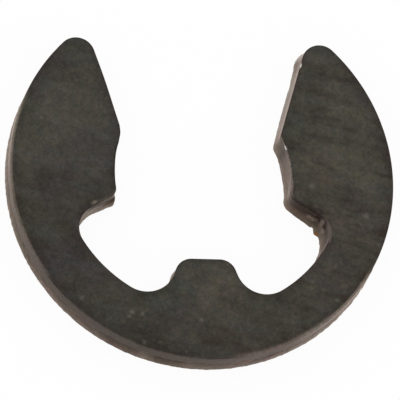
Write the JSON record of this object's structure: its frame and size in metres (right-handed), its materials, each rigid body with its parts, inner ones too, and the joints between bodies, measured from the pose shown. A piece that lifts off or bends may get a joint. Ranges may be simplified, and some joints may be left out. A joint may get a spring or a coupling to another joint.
{
  "type": "e-clip retaining ring",
  "caption": "Flat pressed spring-steel clip, open on one side, that snaps into a shaft's groove and holds it with two arcs and a tab.",
  "frame": {"origin": "centre of the seat arcs, on the lower face that the clip lies on", "axes": "+Z along the shaft, out of the upper face with the rolled edge; +Y out through the mouth"},
  "size_m": [0.012, 0.0104, 0.001],
  "materials": {
    "blackened_spring_steel": "black oxide, oiled, dull"
  },
  "bodies": {
    "root": {"retaining_clip": "blackened_spring_steel"}
  },
  "joints": []
}
